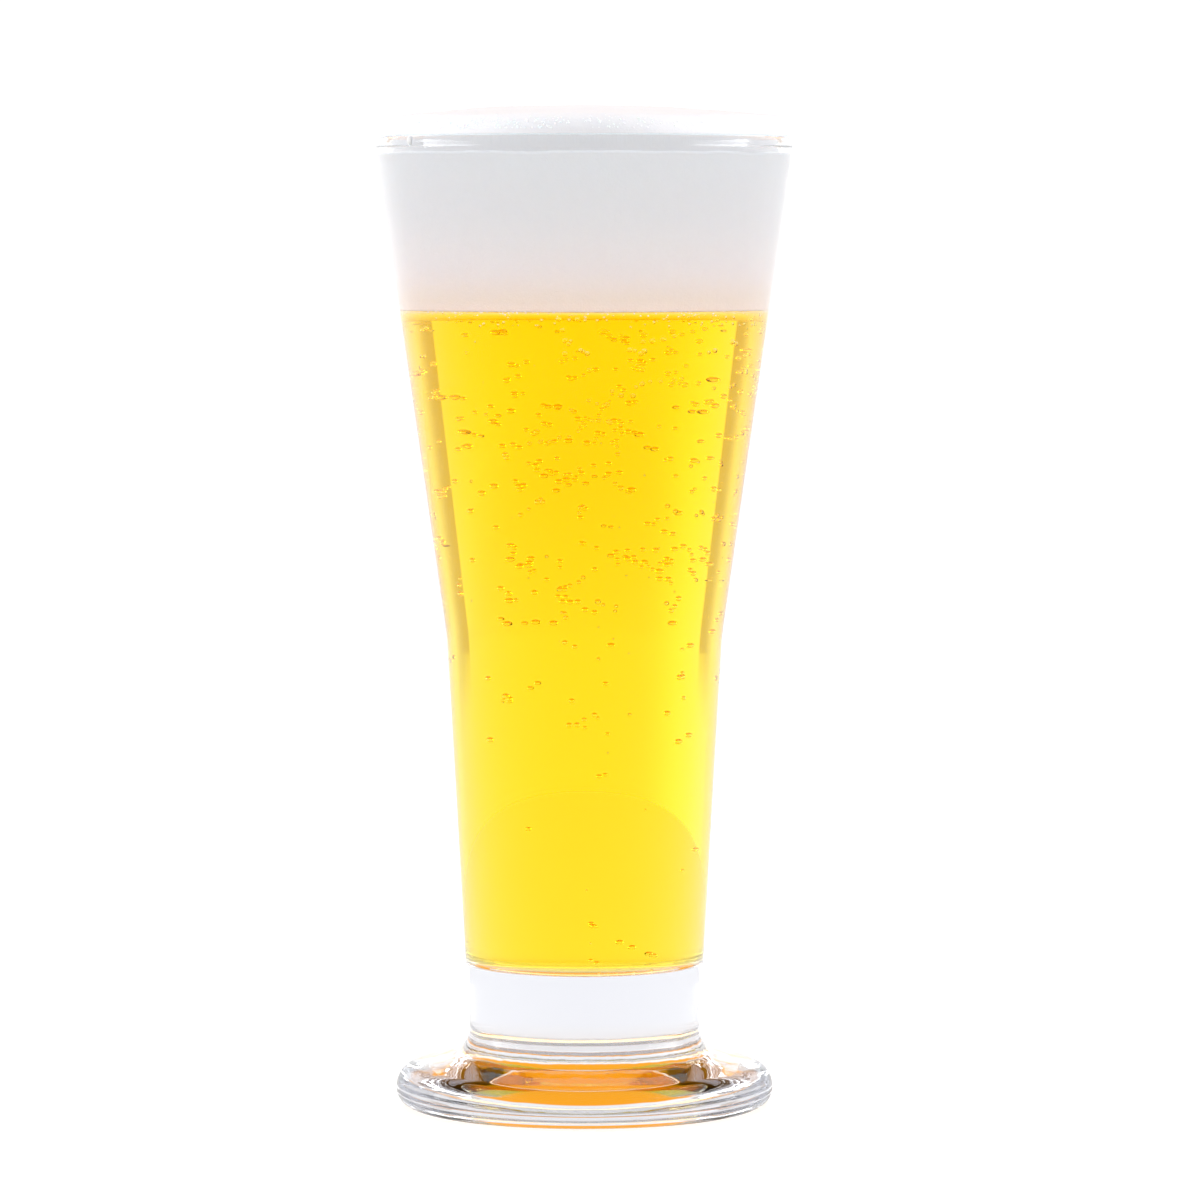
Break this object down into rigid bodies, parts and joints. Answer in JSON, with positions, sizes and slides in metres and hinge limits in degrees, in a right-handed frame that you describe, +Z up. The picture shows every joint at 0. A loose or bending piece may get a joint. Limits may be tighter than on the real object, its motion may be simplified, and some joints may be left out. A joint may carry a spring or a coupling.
{
  "type": "pint of beer",
  "caption": "Tall footed beer glass filled with pale golden lager, under a thick white head of foam that domes above the rim.",
  "frame": {"origin": "on the glass's axis, at the height of the surface that the foot stands on", "axes": "+Z up along the glass's axis; the part is the same all round, so +X and +Y are any two level directions"},
  "size_m": [0.091, 0.091, 0.2188],
  "materials": {
    "glass": "clear polished glass, thick in the foot and stem",
    "beer": "clear pale golden lager with fine rising bubbles",
    "foam": "dense white foam of very fine bubbles, coarser near the lip"
  },
  "bodies": {
    "root": {"glass": "glass", "beer": "beer", "foam": "foam"}
  },
  "joints": []
}
